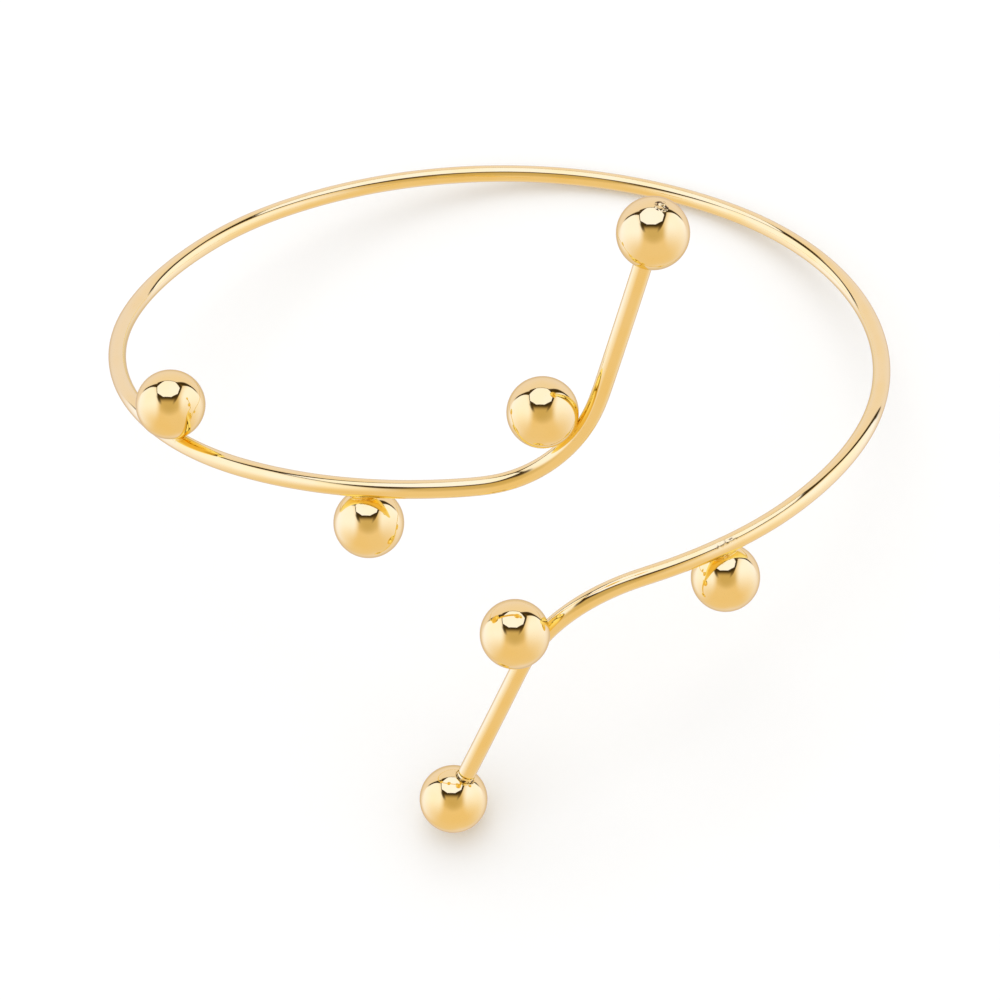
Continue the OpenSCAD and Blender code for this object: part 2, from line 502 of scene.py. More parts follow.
@dataclass
class WirePath:
    """The middle of the wire on the resting cuff, as a dense smooth line from the upper tip to the lower one.

    Attributes:
        drawing: The cuff's drawing.
        step: Distance between the line's points.
        ease: How far a join of arcs and legs is eased.
        points: The line's points.
        lengths: The length along the line at each of them.
    """

    drawing: CuffDrawing
    step: float = 0.25 * MM
    ease: float = 1.2 * MM
    points: np.ndarray = field(init=False)
    lengths: np.ndarray = field(init=False)

    def __post_init__(self) -> None:
        """Draws the line, eases its joins and measures it."""
        rough = np.array([self.drawing.at_rest @ p for p in self._corners()])
        self.points = self._eased(self._spaced(rough))
        self.lengths = self._measured(self.points)

    def _corners(self) -> list[Vector]:
        """Close points along the drawn line."""
        d = self.drawing
        upper, lower = d.runs[Run.UPPER], d.runs[Run.LOWER]
        start = d.ball_middle(Run.UPPER) - d.tip * d.shaft_way(Run.UPPER)
        end = d.ball_middle(Run.LOWER) - d.tip * d.shaft_way(Run.LOWER)
        up_u = np.arange(d.shaft_u, upper.length, self.step)
        low_u = np.arange(lower.length, d.shaft_u, -self.step)
        left = np.arange(upper.at(upper.length).s, -d.oval.half_len, -self.step)
        right = np.arange(d.oval.half_len, lower.at(lower.length).s, -self.step)
        level = [d.oval.rolled(float(s), 0.0) for s in [*left, *right]]
        return [start, *(upper.frame(float(u)).middle for u in up_u), *level,
                *(lower.frame(float(u)).middle for u in low_u), end]

    @staticmethod
    def _measured(points: np.ndarray) -> np.ndarray:
        """Length along a line at each of its points."""
        return np.r_[0.0, np.cumsum(np.linalg.norm(np.diff(points, axis=0), axis=1))]

    def _spaced(self, points: np.ndarray) -> np.ndarray:
        """Spaces the points of a line evenly.

        Args:
            points: The line.

        Returns:
            The same line with evenly spaced points.
        """
        lengths = self._measured(points)
        even = np.linspace(0.0, lengths[-1], int(lengths[-1] / self.step) + 1)
        return np.stack([np.interp(even, lengths, points[:, k]) for k in range(3)], axis=1)

    def _eased(self, points: np.ndarray) -> np.ndarray:
        """Eases the joins of arcs and legs, as bent wire has none, and keeps both ends.

        Args:
            points: The evenly spaced line.

        Returns:
            The eased line.
        """
        reach = int(3 * self.ease / self.step)
        weights = np.exp(-0.5 * (np.arange(-reach, reach + 1) * self.step / self.ease) ** 2)
        weights /= weights.sum()
        first = 2 * points[0] - points[reach:0:-1]
        last = 2 * points[-1] - points[-2:-reach - 2:-1]
        padded = np.concatenate([first, points, last])
        return np.stack([np.convolve(padded[:, k], weights, "valid") for k in range(3)], axis=1)

    @property
    def length(self) -> float:
        """Length of the whole wire."""
        return float(self.lengths[-1])

    def at(self, u: np.ndarray) -> np.ndarray:
        """Points at the distances u from the upper tip."""
        return np.stack([np.interp(u, self.lengths, self.points[:, k]) for k in range(3)], axis=1)

    def nearest(self, point: Vector) -> float:
        """The distance along the wire of its point nearest to this one."""
        return float(self.lengths[np.argmin(np.linalg.norm(self.points - np.array(point), axis=1))])


# Meshes


@dataclass
class Skin:
    """A mesh in the making.

    Attributes:
        points: Its points.
        faces: Its faces, as numbers of points.
        unrolled: Each point's place on the unrolled surface.
        solder: How much solder ran at each point, from 0 to 1.
    """

    points: list[Vector] = field(default_factory=list)
    faces: list[tuple[int, ...]] = field(default_factory=list)
    unrolled: list[tuple[float, float]] = field(default_factory=list)
    solder: list[float] = field(default_factory=list)

    def add_point(self, point: Vector, unrolled: tuple[float, float] = (0.0, 0.0),
                  solder: float = 0.0) -> int:
        """Adds a point.

        Args:
            point: Where it is.
            unrolled: Its place on the unrolled surface.
            solder: How much solder ran there.

        Returns:
            Its number.
        """
        self.points.append(point)
        self.unrolled.append(unrolled)
        self.solder.append(solder)
        return len(self.points) - 1

    def add_ring(self, ring: Sequence[Vector], v: float = 0.0, solder: float = 0.0) -> list[int]:
        """Adds a closed ring of points and returns their numbers."""
        n = len(ring)
        return [self.add_point(p, (k / n, v), solder) for k, p in enumerate(ring)]

    def bridge(self, a: Sequence[int], b: Sequence[int]) -> None:
        """Joins two rings with a band of faces."""
        n = len(a)
        self.faces += [(a[k], a[(k + 1) % n], b[(k + 1) % n], b[k]) for k in range(n)]

    def cap(self, ring: Sequence[int], middle: int, flip: bool = False) -> None:
        """Closes a ring with a fan of faces.

        Args:
            ring: The ring's points.
            middle: The point that the fan meets in.
            flip: Turns the faces over.
        """
        n = len(ring)
        for k in range(n):
            pair = (ring[k], ring[(k + 1) % n])
            self.faces.append((middle, *(reversed(pair) if flip else pair)))

    def made(self, name: str) -> bpy.types.Object:
        """Makes the object, smooth shaded.

        Args:
            name: Name of the piece.

        Returns:
            The new object, in the scene.
        """
        mesh = bpy.data.meshes.new(name)
        mesh.from_pydata([tuple(p) for p in self.points], [], self.faces)
        mesh.validate()
        mesh.update()
        mesh.shade_smooth()
        layer = mesh.uv_layers.new(name="unrolled")
        for loop in mesh.loops:
            layer.data[loop.index].uv = self.unrolled[loop.vertex_index]
        mask = mesh.attributes.new("solder", "FLOAT", "POINT")
        mask.data.foreach_set("value", self.solder)
        made = bpy.data.objects.new(name, mesh)
        bpy.context.scene.collection.objects.link(made)
        return made


def lathe(profile: Sequence[tuple[float, float]], sides: int, shape: Callable[[Vector], Vector],
          solder: Callable[[float], float] = lambda z: 0.0) -> Skin:
    """Turns a profile round the z axis.

    Args:
        profile: Radius and height of each ring, the first and the last on the axis.
        sides: Points in a ring.
        shape: Where a point of the turned form goes in the end.
        solder: How much solder ran at a height.

    Returns:
        The closed skin.
    """
    skin = Skin()
    rings: list[list[int]] = []
    for i, (r, z) in enumerate(profile):
        v = i / (len(profile) - 1)
        if i in (0, len(profile) - 1):
            rings.append([skin.add_point(shape(Vector((0.0, 0.0, z))), (0.5, v), solder(z))])
            continue
        ring = [shape(about_z(r, turn, z)) for turn in turns(sides)]
        rings.append(skin.add_ring(ring, v, solder(z)))
    skin.cap(rings[1], rings[0][0], flip=True)
    for a, b in zip(rings[1:-2], rings[2:-1]):
        skin.bridge(a, b)
    skin.cap(rings[-2], rings[-1][0])
    return skin


def pointed(middle: Vector, way: Vector, across: Vector | None = None) -> Matrix:
    """Stands the z axis at a point along a direction.

    Args:
        middle: Where the origin goes.
        way: Where the z axis points.
        across: Roughly where the x axis points.

    Returns:
        The move.
    """
    z = unit(way)
    x = across if across is not None else z.orthogonal()
    x = unit(x - x.dot(z) * z)
    turn = Matrix((x, z.cross(x), z)).transposed().to_4x4()
    return Matrix.Translation(middle) @ turn


# Finishes


class NodeSheet:
    """Lays nodes in a material's or the studio's sheet and joins them up."""

    def __init__(self, tree: bpy.types.NodeTree) -> None:
        """Starts an empty sheet."""
        self.tree = tree
        tree.nodes.clear()

    def add(self, kind: str, **settings: object) -> bpy.types.Node:
        """Adds a node.

        Args:
            kind: What node it is.
            settings: Its options.

        Returns:
            The node.
        """
        node = self.tree.nodes.new(kind)
        for name, value in settings.items():
            setattr(node, name, value)
        return node

    def feed(self, socket: bpy.types.NodeSocket, value: object) -> None:
        """Joins an output to a socket, or sets the socket's own value.

        Args:
            socket: The socket.
            value: An output, a number or a colour.
        """
        if isinstance(value, bpy.types.NodeSocket):
            self.tree.links.new(value, socket)
        elif isinstance(value, tuple) and len(value) == 3 and socket.type == "RGBA":
            socket.default_value = (*value, 1.0)
        else:
            socket.default_value = value

    def math(self, operation: str, *values: object) -> bpy.types.NodeSocket:
        """One sum on numbers.

        Args:
            operation: What is done.
            values: The numbers.

        Returns:
            What comes out.
        """
        node = self.add("ShaderNodeMath", operation=operation)
        for socket, value in zip(node.inputs, values):
            self.feed(socket, value)
        return node.outputs[0]

    def product(self, first: object, *others: object) -> bpy.types.NodeSocket:
        """Numbers multiplied with each other, from the first to the last.

        Args:
            first: The first number.
            others: The others.

        Returns:
            Their product.
        """
        for other in others:
            first = self.math("MULTIPLY", first, other)
        return first

    def dot(self, vector: object, way: Vector) -> bpy.types.NodeSocket:
        """How far a vector reaches along a direction.

        Args:
            vector: The vector.
            way: The direction, of length 1.

        Returns:
            Its reach.
        """
        node = self.add("ShaderNodeVectorMath", operation="DOT_PRODUCT")
        self.feed(node.inputs[0], vector)
        node.inputs[1].default_value = way
        return node.outputs["Value"]

    def eased(self, value: object, low: object, high: object, out_low: object = 0.0,
              out_high: object = 1.0) -> bpy.types.NodeSocket:
        """A smooth step of a number.

        Args:
            value: The number.
            low: Where the step begins.
            high: Where it ends, which may be under its beginning.
            out_low: What comes out before it.
            out_high: What comes out after it.

        Returns:
            What comes out.
        """
        node = self.add("ShaderNodeMapRange", interpolation_type="SMOOTHSTEP")
        for socket, item in zip(node.inputs, (value, low, high, out_low, out_high)):
            self.feed(socket, item)
        return node.outputs[0]

    def mixed(self, share: object, a: object, b: object) -> bpy.types.NodeSocket:
        """A blend of two colours.

        Args:
            share: How much of the second shows, from 0 to 1.
            a: The first colour.
            b: The second colour.

        Returns:
            The blend.
        """
        node = self.add("ShaderNodeMix", data_type="RGBA")
        for socket, item in zip((node.inputs["Factor"], node.inputs[6], node.inputs[7]), (share, a, b)):
            self.feed(socket, item)
        return node.outputs[2]

    def speckle(self, vector: object, size: float, detail: float = 2.0,
                rough: float = 0.5) -> bpy.types.NodeSocket:
        """Noise in patches.

        Args:
            vector: Where on the surface.
            size: About how big the patches are, in the vector's units.
            detail: How many finer levels they have.
            rough: How strong the finer levels are.

        Returns:
            A value round 0.5, from 0 to 1.
        """
        node = self.add("ShaderNodeTexNoise")
        self.feed(node.inputs["Vector"], vector)
        for name, value in (("Scale", 1.0 / size), ("Detail", detail), ("Roughness", rough)):
            node.inputs[name].default_value = value
        return node.outputs["Fac"]

    def stretched(self, vector: object, scale: tuple[float, float, float]) -> bpy.types.NodeSocket:
        """A vector scaled on each axis.

        Args:
            vector: The vector.
            scale: How many times on each axis.

        Returns:
            The scaled vector.
        """
        node = self.add("ShaderNodeMapping")
        self.feed(node.inputs["Vector"], vector)
        node.inputs["Scale"].default_value = scale
        return node.outputs[0]

    def bump(self, height: object, distance: float, after: object = None) -> bpy.types.NodeSocket:
        """A relief.

        Args:
            height: Where it is high, from 0 to 1.
            distance: How high it is there.
            after: Another relief that it lies over, if any.

        Returns:
            The surface's direction with the relief.
        """
        node = self.add("ShaderNodeBump")
        node.inputs["Strength"].default_value = 1.0
        node.inputs["Distance"].default_value = distance
        self.feed(node.inputs["Height"], height)
        if after is not None:
            self.feed(node.inputs["Normal"], after)
        return node.outputs[0]


@dataclass(frozen=True)
class Mottle:
    """Patches that come and go over a surface.

    Attributes:
        size: About how big they are.
        detail: How many finer levels they have.
        rough: How strong the finer levels are.
        between: Between these values of a speckle from 0 to 1 they set in.
    """

    size: float
    detail: float
    rough: float
    between: tuple[float, float]

    def laid(self, sheet: NodeSheet, place: object, bare: float = 0.0,
             full: float = 1.0) -> bpy.types.NodeSocket:
        """Lays them over a surface, with one value beside them and another in them."""
        speckle = sheet.speckle(place, self.size, self.detail, self.rough)
        return sheet.eased(speckle, *self.between, bare, full)


@dataclass(frozen=True)
class Finish:
    """A finish that a piece wears.

    Attributes:
        name: Name of the material.
    """

    name: str

    def shader(self, sheet: NodeSheet, place: object) -> bpy.types.Node:
        """The finish's shader, for places in the piece's own space."""
        raise NotImplementedError

    def made(self) -> bpy.types.Material:
        """Makes the material.

        Returns:
            The material, with its sheet of nodes.
        """
        material = bpy.data.materials.new(self.name)
        material.use_nodes = True
        sheet = NodeSheet(material.node_tree)
        shader = self.shader(sheet, sheet.add("ShaderNodeTexCoord").outputs["Object"])
        sheet.feed(sheet.add("ShaderNodeOutputMaterial").inputs["Surface"], shader.outputs[0])
        return material


@dataclass(frozen=True)
class GoldPlate(Finish):
    """Polished gold plate on brass, with a painted sheen that pales it towards its outlines.

    Attributes:
        grain: How the surface under the plate was left.
        bright: The plate's own colour.
        warm: Its colour in faint thicker patches.
        scorched: Its colour where solder ran.
        glancing: Its colour at the outline, seen at a very low angle.
        pale: The colour of the painted sheen, a painted highlight that pales the metal where it curves away
            from the view.
        painted_sheen_share: How much of that painted sheen shows.
        painted_sheen_facing: From not at all to wholly turned away, between these shares the painted sheen
            sets in.
        gloss: Roughness where it is well polished.
        haze: Roughness that wiping and wear add in patches.
        dulled: Roughness that solder adds.
        relief: Height of the grain.
        coarse: How many times higher streaks and molten grain are.
        lines: How many drawn lines go round the wire, and how long they are.
        streaks: The same of the broader streaks.
        buffed: Size of the waves that the wheel left.
        molten: Size of the waves on solder.
        crumb: Size of the crumbs where solder ran, and their height.
        patches: The thicker patches.
        stains: The scorched spots where solder ran.
        wiped: The haze.
        scuffs: The fine scuffs.
        scuffed: How those are drawn out on each axis.
    """

    grain: Grain
    bright: Colour = (1.0, 0.80, 0.225)
    warm: Colour = (1.0, 0.77, 0.185)
    scorched: Colour = (0.80, 0.54, 0.10)
    glancing: Colour = (0.92, 0.84, 0.62)
    pale: Colour = (1.0, 0.93, 0.40)
    painted_sheen_share: float = 0.5
    painted_sheen_facing: tuple[float, float] = (0.22, 0.85)
    gloss: float = 0.035
    haze: float = 0.05
    dulled: float = 0.06
    relief: float = 0.0015 * MM
    coarse: float = 4.0
    lines: tuple[float, float] = (80.0, 9 * MM)
    streaks: tuple[float, float] = (22.0, 5 * MM)
    buffed: float = 1.3 * MM
    molten: float = 0.3 * MM
    crumb: tuple[float, float] = (0.22 * MM, 0.010 * MM)
    patches: Mottle = Mottle(6 * MM, detail=3.0, rough=0.5, between=(0.35, 0.70))
    stains: Mottle = Mottle(0.35 * MM, detail=3.0, rough=0.6, between=(0.50, 0.72))
    wiped: Mottle = Mottle(3.5 * MM, detail=4.0, rough=0.6, between=(0.40, 0.75))
    scuffs: Mottle = Mottle(0.25 * MM, detail=2.0, rough=0.5, between=(0.66, 0.78))
    scuffed: tuple[float, float, float] = (1.0, 0.2, 1.6)

    def shader(self, sheet: NodeSheet, place: object) -> bpy.types.Node:
        """The metal.

        Args:
            sheet: Where the nodes go.
            place: Places in the piece's own space.

        Returns:
            Its shader.
        """
        solder = sheet.add("ShaderNodeAttribute", attribute_name="solder").outputs["Fac"]
        metal = sheet.add("ShaderNodeBsdfPrincipled")
        metal.inputs["Metallic"].default_value = 1.0
        metal.inputs["Specular Tint"].default_value = (*self.glancing, 1.0)
        sheet.feed(metal.inputs["Base Color"], self._colour(sheet, place, solder))
        sheet.feed(metal.inputs["Roughness"], self._roughness(sheet, place, solder))
        sheet.feed(metal.inputs["Normal"], self._relief(sheet, place, solder))
        return metal

    def _colour(self, sheet: NodeSheet, place: object, solder: object) -> bpy.types.NodeSocket:
        """Faint patches of thicker plate, a painted sheen that pales the colour towards the outlines, and
        darker metal where solder ran.

        Args:
            sheet: Where the nodes go.
            place: Places in the piece's own space.
            solder: How much solder ran.

        Returns:
            The metal's colour.
        """
        plate = sheet.mixed(self.patches.laid(sheet, place), self.bright, self.warm)
        # Painted sheen: a painted highlight that pales the colour where the surface turns away from the view.
        turned_away = sheet.add("ShaderNodeLayerWeight")
        turned_away.inputs["Blend"].default_value = 0.5
        painted_sheen = sheet.eased(turned_away.outputs["Facing"], *self.painted_sheen_facing, 0.0, self.painted_sheen_share)
        plate = sheet.mixed(painted_sheen, plate, self.pale)
        return sheet.mixed(sheet.product(self.stains.laid(sheet, place), solder), plate, self.scorched)

    def _roughness(self, sheet: NodeSheet, place: object, solder: object) -> bpy.types.NodeSocket:
        """Gloss with a wiped haze, a few fine scuffs, and a duller skin where solder ran.

        Args:
            sheet: Where the nodes go.
            place: Places in the piece's own space.
            solder: How much solder ran.

        Returns:
            The metal's roughness.
        """
        haze = self.wiped.laid(sheet, place, self.gloss, self.gloss + self.haze)
        scuffs = self.scuffs.laid(sheet, sheet.stretched(place, self.scuffed))
        worn = sheet.math("MULTIPLY_ADD", scuffs, self.haze, haze)
        return sheet.math("MULTIPLY_ADD", solder, self.dulled, worn)

    @staticmethod
    def _lengthwise(sheet: NodeSheet, lines: tuple[float, float], detail: float) -> bpy.types.NodeSocket:
        """So many lines round the wire, each of about this length."""
        unrolled = sheet.add("ShaderNodeUVMap", uv_map="unrolled").outputs[0]
        return sheet.speckle(sheet.stretched(unrolled, (lines[0], 1.0 / lines[1], 1.0)), 1.0, detail)

    def _relief(self, sheet: NodeSheet, place: object, solder: object) -> bpy.types.NodeSocket:
        """The grain under the plate, and pits and crumbs where solder ran.

        Args:
            sheet: Where the nodes go.
            place: Places in the piece's own space.
            solder: How much solder ran.

        Returns:
            The surface's direction.
        """
        if self.grain is Grain.DRAWN:
            streaks = sheet.bump(self._lengthwise(sheet, self.streaks, detail=1.0), self.coarse * self.relief)
            grain = sheet.bump(self._lengthwise(sheet, self.lines, detail=2.0), self.relief, streaks)
        elif self.grain is Grain.BUFFED:
            grain = sheet.bump(sheet.speckle(place, self.buffed, detail=2.0), self.relief)
        else:
            grain = sheet.bump(sheet.speckle(place, self.molten, detail=3.0), self.coarse * self.relief)
        size, height = self.crumb
        crumbs = sheet.product(sheet.speckle(place, size, detail=3.0, rough=0.6), solder)
        return sheet.bump(crumbs, height, grain)


@dataclass(frozen=True)
class PaperFloor(Finish):
    """Plain pale sweep paper.

    Attributes:
        white: The paper's colour.
        shaded: Its colour between the fibres.
        fibre: Size of the fibres' clumps.
        relief: Their height.
    """

    name: str = "pale_sweep_paper"
    white: Colour = (0.94, 0.94, 0.938)
    shaded: Colour = (0.928, 0.928, 0.926)
    fibre: float = 0.9 * MM
    relief: float = 0.01 * MM

    def shader(self, sheet: NodeSheet, place: object) -> bpy.types.Node:
        """The paper.

        Args:
            sheet: Where the nodes go.
            place: Places in the floor's own space.

        Returns:
            Its shader.
        """
        fibres = sheet.speckle(place, self.fibre, detail=4.0, rough=0.6)
        paper = sheet.add("ShaderNodeBsdfDiffuse")
        sheet.feed(paper.inputs["Color"], sheet.mixed(fibres, self.shaded, self.white))
        sheet.feed(paper.inputs["Normal"], sheet.bump(fibres, self.relief))
        return paper


# The pieces


@dataclass(kw_only=True)
class Piece:
    """A piece of the cuff that is made, dressed and put on the frame.

    Attributes:
        name: Name of the piece.
        drawing: The cuff's drawing.
        slot: The record's material slot; not used.
        replaced: CAD nodes that the piece stands for.
    """

    name: str
    drawing: CuffDrawing
    slot: str
    replaced: tuple[str, ...]

    def skin(self) -> Skin:
        """The piece's mesh."""
        raise NotImplementedError

    def build(self, finish: bpy.types.Material) -> bpy.types.Object:
        """Makes the piece in this finish and lets it ride on the frame.

        Args:
            finish: The material that it wears.

        Returns:
            The finished object.
        """
        made = self.skin().made(self.name)
        made.data.materials.append(finish)
        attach(made, "root")
        if self.replaced:
            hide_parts(*self.replaced)
        LOG.info("%s: %d faces", self.name, len(made.data.polygons))
        return made


def waver(point: Vector, size: float, height: float, seed: float = 0.0) -> float:
    """Slow unevenness of a handmade surface, of this size and height, at a point."""
    return height * noise.noise(point / size + Vector((seed, 0.0, 0.0)))


@dataclass(kw_only=True)
class CuffWire(Piece):
    """The bent wire, one smooth tube from ball to ball, with its grooved end at the lower ball.

    Attributes:
        path: The line that the tube follows.
        sides: Points in a ring.
        wide_step: Distance between rings along the bare wire.
        close_step: The same at the seats and mouths.
        close_reach: How far from a seat or mouth the rings are that close.
        solder_reach: How far along the wire from a seat solder ran.
        wetted: How much of it ran round a ball's foot.
        wetted_side: How far a spot faces the ball where it begins, and over what width it grows.
        spatter_side: The same of the spatter.
        spatter_ends: Where along that reach the spatter thins, and over what share.
        dent: Height of the wire's slow unevenness.
        dent_size: How long that is.
        crumb: Height of the crumbs where solder ran.
        crumb_size: Their size.
        crumb_seed: Sets them apart from the other unevenness.
        groove: Depth of the groove.
        groove_u: How far the groove is from the lower end ball's middle.
        groove_w: Half its width.
    """

    path: WirePath
    name: str = "cuff_wire"
    slot: str = "plated_band"
    replaced: tuple[str, ...] = ("wire_band",)
    sides: int = 56
    wide_step: float = 0.6 * MM
    close_step: float = 0.11 * MM
    close_reach: float = 2.6 * MM
    solder_reach: float = 1.9 * MM
    wetted: float = 0.3
    wetted_side: tuple[float, float] = (0.1, 0.6)
    spatter_side: tuple[float, float] = (0.94, 0.05)
    spatter_ends: tuple[float, float] = (0.55, 0.3)
    dent: float = 0.004 * MM
    dent_size: float = 7 * MM
    crumb: float = 0.034 * MM
    crumb_size: float = 0.30 * MM
    crumb_seed: float = 7.0
    groove: float = 0.10 * MM
    groove_u: float = 4.05 * MM
    groove_w: float = 0.16 * MM

    @cached_property
    def seats(self) -> list[float]:
        """Distance along the wire of each side ball's seat."""
        d = self.drawing
        return [self.path.nearest(d.at_rest @ d.seat_frame(b).middle) for b in d.side_balls]

    @cached_property
    def mouths(self) -> list[float]:
        """Distance along the wire of the mouth of each end ball."""
        inside = self.drawing.tip + self.drawing.ball_r
        return [inside, self.path.length - inside]

    def _stations(self) -> np.ndarray:
        """Where the rings go: close together at the seats and mouths, wide apart between them."""
        marks = [*self.seats, *self.mouths]
        u, stations = 0.0, []
        while u < self.path.length:
            stations.append(u)
            near = min(abs(u - m) for m in marks)
            share = smooth_step(near, self.close_reach, 2 * self.close_reach)
            u += self.close_step + (self.wide_step - self.close_step) * float(share)
        return np.array([*stations, self.path.length])

    def _solder(self, u: float, way: Vector) -> float:
        """How much solder ran over the wire, from 0 to 1.

        Args:
            u: Distance along the wire.
            way: The way out of the wire's middle.

        Returns:
            The most that ran there from any ball.
        """
        d = self.drawing
        most = 0.0
        for ball, seat in zip(d.side_balls, self.seats):
            off = abs(u - seat) / self.solder_reach
            if off > 1:
                continue
            under = smooth_step(way.dot(d.rested(d.seat_way(ball))), *self.wetted_side)
            most = max(most, self.wetted * float(under * (1.0 - smooth_step(off))))
            if ball.spatter is not None:
                over = smooth_step(way.dot(d.rested(d.way_round(ball, ball.spatter))), *self.spatter_side)
                most = max(most, float(over * (1.0 - smooth_step(off, *self.spatter_ends))))
        return most

    def _radius(self, u: float) -> float:
        """The wire's radius, with the groove turned in it just above the lower ball.

        Args:
            u: Distance along the wire.

        Returns:
            The radius there.
        """
        from_lower = self.path.length - self.drawing.tip - u
        cut = math.exp(-((from_lower - self.groove_u) / self.groove_w) ** 4)
        return self.drawing.wire_r - self.groove * cut

    def skin(self) -> Skin:
        """Sweeps the tube along the wire's line."""
        skin = Skin()
        stations = self._stations()
        middles = self.path.at(stations)
        ahead = self.path.at(np.minimum(stations + self.path.step, self.path.length))
        behind = self.path.at(np.maximum(stations - self.path.step, 0.0))
        centre = self.drawing.at_rest @ Vector((0.0, 0.0, 0.0))
        arm = self.drawing.rested(Vector((0.0, 0.0, 1.0)))
        rings = []
        for u, middle, a, b in zip(stations, middles, ahead, behind):
            at, along = Vector(middle), unit(Vector(a - b))
            out = at - centre
            out = out - out.dot(arm) * arm
            out = unit(out - out.dot(along) * along)
            over = along.cross(out)
            radius = self._radius(u)
            ring = []
            for k, turn in enumerate(turns(self.sides)):
                way = math.cos(turn) * out + math.sin(turn) * over
                bare = at + radius * way
                solder = self._solder(u, way)
                lift = waver(bare, self.dent_size, self.dent)
                lift += solder * waver(bare, self.crumb_size, self.crumb, self.crumb_seed)
                ring.append(skin.add_point(bare + lift * way, (k / self.sides, u), solder))
            rings.append(ring)
        for a, b in zip(rings, rings[1:]):
            skin.bridge(a, b)
        skin.cap(rings[0], skin.add_point(Vector(middles[0]), (0.5, 0.0)), flip=True)
        skin.cap(rings[-1], skin.add_point(Vector(middles[-1]), (0.5, self.path.length)))
        return skin


@dataclass(kw_only=True)
class PolishedBall(Piece):
    """A polished ball, turned round its z axis.

    Attributes:
        sides: Points in a ring.
        rings: Steps from pole to pole.
        peel: Height of the faint peel of buffed metal.
        peel_size: Its size.
        peel_seed: Sets it apart from the other unevenness.
    """

    slot: str = "plated_ball"
    sides: int = 96
    rings: int = 64
    peel: float = 0.0025 * MM
    peel_size: float = 2.6 * MM
    peel_seed: float = 3.0

    @cached_property
    def stand(self) -> Matrix:
        """Stands the ball at its place."""
        raise NotImplementedError

    def _profile(self) -> list[tuple[float, float]]:
        """Radius and height of each ring."""
        raise NotImplementedError

    def _solder(self, z: float) -> float:
        """How much solder ran at a height."""
        raise NotImplementedError

    def _shape(self, point: Vector) -> Vector:
        """Puts a point of the turned ball in its place, with the faint peel of buffed metal.

        Args:
            point: The point, about the ball's middle.

        Returns:
            The point on the resting cuff.
        """
        placed = self.stand @ point
        way = self.stand.to_3x3() @ unit(point)
        return placed + waver(placed, self.peel_size, self.peel, self.peel_seed) * way

    def skin(self) -> Skin:
        """Turns the ball."""
        return lathe(self._profile(), self.sides, self._shape, self._solder)


@dataclass(kw_only=True)
class SolderedBall(PolishedBall):
    """A side ball: a round shell that stands on its solder.

    Attributes:
        ball: Where it is soldered.
        soldered: How far up from its foot the solder ran.
    """

    ball: SideBall
    replaced: tuple[str, ...] = ("wire_band",)
    soldered: float = 0.5 * MM

    @cached_property
    def stand(self) -> Matrix:
        """Stands the ball at its place, its z axis away from the wire."""
        d = self.drawing
        f, way = d.seat_frame(self.ball), d.seat_way(self.ball)
        middle = d.at_rest @ (f.middle + d.seat * way)
        return pointed(middle, d.rested(way), d.rested(f.along))

    def _profile(self) -> list[tuple[float, float]]:
        """Half a circle from the pole at the wire to the far pole."""
        steps = [math.pi * i / self.rings for i in range(self.rings + 1)]
        return [(self.drawing.ball_r * math.sin(t), -self.drawing.ball_r * math.cos(t)) for t in steps]

    def _solder(self, z: float) -> float:
        """How much solder ran at a height."""
        return float(1.0 - smooth_step(z, -self.drawing.ball_r, self.soldered))


@dataclass(kw_only=True)
class EndBall(PolishedBall):
    """An end ball: a hollow shell, drilled for the wire's tip, with a finely broken edge at its mouth.

    Attributes:
        run: The run of wire that it ends.
        lip: Width of the broken edge.
        edge: How round that is on both sides.
        seam: How far from the ball's middle solder begins, and over what distance it grows.
    """

    run: Run
    lip: float = 0.05 * MM
    edge: float = 0.03 * MM
    seam: tuple[float, float] = (3.45 * MM, 0.3 * MM)

    @cached_property
    def stand(self) -> Matrix:
        """Stands the ball at its place, its z axis along the wire that leaves it."""
        d = self.drawing
        return pointed(d.at_rest @ d.ball_middle(self.run), d.rested(d.shaft_way(self.run)))

    def _profile(self) -> list[tuple[float, float]]:
        """From the far pole up the outside, down the broken edge and the hole, and back along the inside."""
        d, edge = self.drawing, self.edge
        hole_r, inner_r = d.wire_r + d.end_fit, d.ball_r - d.ball_wall
        lip_r = hole_r + self.lip
        lip_turn, hole_turn = math.asin(lip_r / d.ball_r), math.asin(hole_r / inner_r)
        lip_z = math.sqrt(d.ball_r ** 2 - lip_r ** 2)
        inner_rings = self.rings // 2
        outside = [math.pi - (math.pi - lip_turn) * i / self.rings for i in range(self.rings)]
        inside = [hole_turn + (math.pi - hole_turn) * i / inner_rings for i in range(inner_rings + 1)]
        outer = [(d.ball_r * math.sin(t), d.ball_r * math.cos(t)) for t in outside]
        chamfer = [(lip_r + edge, math.sqrt(d.ball_r ** 2 - (lip_r + edge) ** 2)),
                   (lip_r - edge / 2, lip_z - edge / 2),
                   (hole_r + edge / 2, lip_z - self.lip + edge / 2),
                   (hole_r, lip_z - self.lip - edge)]
        inner = [(inner_r * math.sin(t), inner_r * math.cos(t)) for t in inside]
        return outer + chamfer + inner

    def _solder(self, z: float) -> float:
        """How much solder ran at a height."""
        return float(smooth_step(z, *self.seam))


